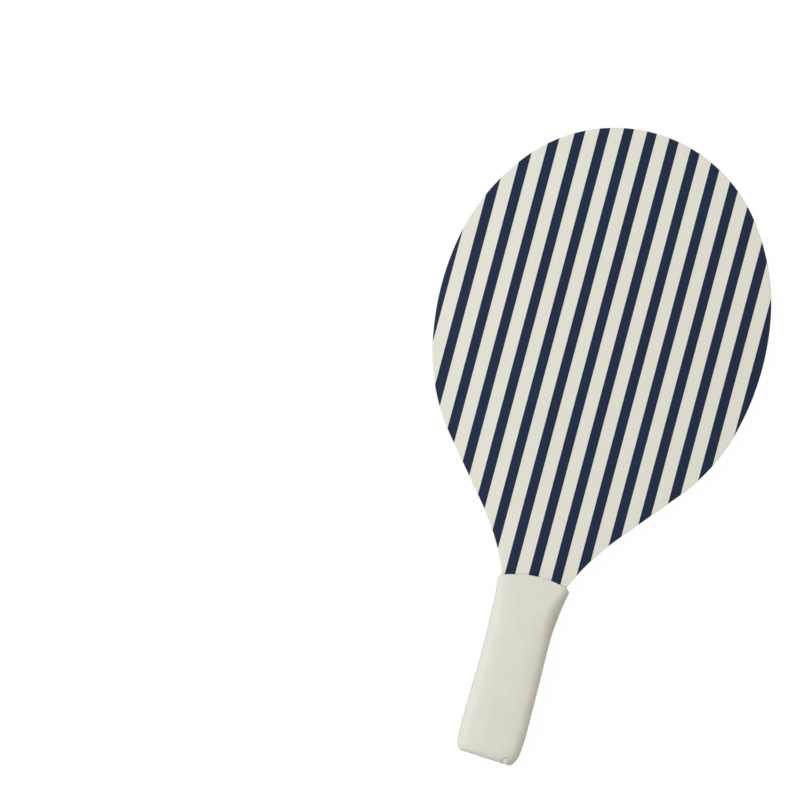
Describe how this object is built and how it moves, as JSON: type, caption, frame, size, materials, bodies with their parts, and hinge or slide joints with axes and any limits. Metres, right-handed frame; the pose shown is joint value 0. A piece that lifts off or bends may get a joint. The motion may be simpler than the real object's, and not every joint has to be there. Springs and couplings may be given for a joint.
{
  "type": "frescobol racket",
  "caption": "Flat plywood beach racket with an egg-shaped striped head, a narrow throat and a padded handle in a pale neoprene sleeve.",
  "frame": {"origin": "under the middle of the racket, at the height of the sleeve's underside", "axes": "+Y from the handle's butt to the head's tip, +Z out of the front face, +X to the right seen from the front with the head up, which is the sleeve's seam side"},
  "size_m": [0.24, 0.469, 0.02],
  "materials": {
    "face_veneer": "matte",
    "cross_veneer": "matte",
    "cream_print": "satin",
    "navy_ink": "satin",
    "grip_foam": "matte",
    "neoprene": "matte",
    "thread": "matte"
  },
  "bodies": {
    "root": {"back_face_ply": "face_veneer", "back_cross_ply": "cross_veneer", "core_ply": "face_veneer", "front_cross_ply": "cross_veneer", "front_face_ply": "face_veneer", "front_print_base": "cream_print", "front_stripe_01": "navy_ink", "front_stripe_02": "navy_ink", "front_stripe_03": "navy_ink", "front_stripe_04": "navy_ink", "front_stripe_05": "navy_ink", "front_stripe_06": "navy_ink", "front_stripe_07": "navy_ink", "front_stripe_08": "navy_ink", "front_stripe_09": "navy_ink", "front_stripe_10": "navy_ink", "front_stripe_11": "navy_ink", "front_stripe_12": "navy_ink", "front_stripe_13": "navy_ink", "front_stripe_14": "navy_ink", "front_stripe_15": "navy_ink", "back_print_base": "cream_print", "back_stripe_01": "navy_ink", "back_stripe_02": "navy_ink", "back_stripe_03": "navy_ink", "back_stripe_04": "navy_ink", "back_stripe_05": "navy_ink", "back_stripe_06": "navy_ink", "back_stripe_07": "navy_ink", "back_stripe_08": "navy_ink", "back_stripe_09": "navy_ink", "back_stripe_10": "navy_ink", "back_stripe_11": "navy_ink", "back_stripe_12": "navy_ink", "back_stripe_13": "navy_ink", "back_stripe_14": "navy_ink", "back_stripe_15": "navy_ink", "front_grip_pad": "grip_foam", "back_grip_pad": "grip_foam", "grip_sleeve": "neoprene", "seam_thread": "thread"}
  },
  "joints": []
}
